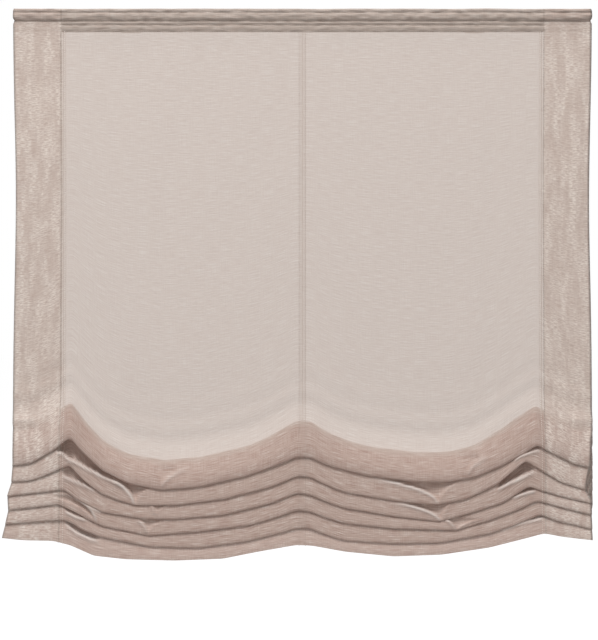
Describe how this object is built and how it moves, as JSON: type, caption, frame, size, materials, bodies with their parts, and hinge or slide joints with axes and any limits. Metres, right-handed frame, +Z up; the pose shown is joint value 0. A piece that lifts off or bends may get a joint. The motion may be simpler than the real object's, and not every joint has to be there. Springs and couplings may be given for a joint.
{
  "type": "roman blind",
  "caption": "Soft rodless roman blind in sheer taupe cloth, half raised into swagged folds, on a chain-drive head rail with ring tapes, lift cords and wall brackets.",
  "frame": {"origin": "centre of the four wall fixing holes, on the wall plane", "axes": "+X along the head rail to the right as seen from the room, +Y into the wall, +Z up"},
  "size_m": [1, 0.0698, 0.9476],
  "materials": {
    "sheer_cloth": "sheer slub weave, taupe",
    "woven_tape": "narrow woven tape",
    "lift_cord": "braided polyester cord",
    "hook_and_loop": "hook and loop tape",
    "rail_paint": "white powder coat",
    "white_plastic": "moulded",
    "grey_plastic": "moulded",
    "clear_plastic": "clear",
    "bare_steel": "zinc plated"
  },
  "bodies": {
    "head_assembly": {"fabric_panel": "sheer_cloth", "header_loop_tape": "hook_and_loop", "rail_hook_tape": "hook_and_loop", "head_rail": "rail_paint", "cord_stops": "clear_plastic", "cord_eyelets": "white_plastic", "clamp_screws": "bare_steel", "idle_end_cap": "white_plastic", "control_housing": "white_plastic", "control_cover": "white_plastic", "cover_screws": "bare_steel", "ring_tape_left": "woven_tape", "tape_rings_left": "clear_plastic", "lift_cord_left": "lift_cord", "spool_cradle_left": "white_plastic", "ring_tape_center": "woven_tape", "tape_rings_center": "clear_plastic", "lift_cord_center": "lift_cord", "spool_cradle_center": "white_plastic", "ring_tape_right": "woven_tape", "tape_rings_right": "clear_plastic", "lift_cord_right": "lift_cord", "spool_cradle_right": "white_plastic", "wall_bracket_left": "bare_steel", "rail_clamp_left": "bare_steel", "wall_bracket_right": "bare_steel", "rail_clamp_right": "bare_steel"},
    "drive": {"drive_shaft": "bare_steel", "idle_bush": "grey_plastic", "chain_wheel": "grey_plastic", "clutch_spring": "bare_steel", "spool_left": "white_plastic", "spool_center": "white_plastic", "spool_right": "white_plastic", "cord_winding_left": "lift_cord", "cord_winding_center": "lift_cord", "cord_winding_right": "lift_cord"}
  },
  "joints": [
    {"name": "drive_turn", "type": "hinge", "parent": "head_assembly", "child": "drive", "pos_m": [0, -0.01925, 0.0011], "axis": [1, 0, 0], "continuous": true}
  ]
}
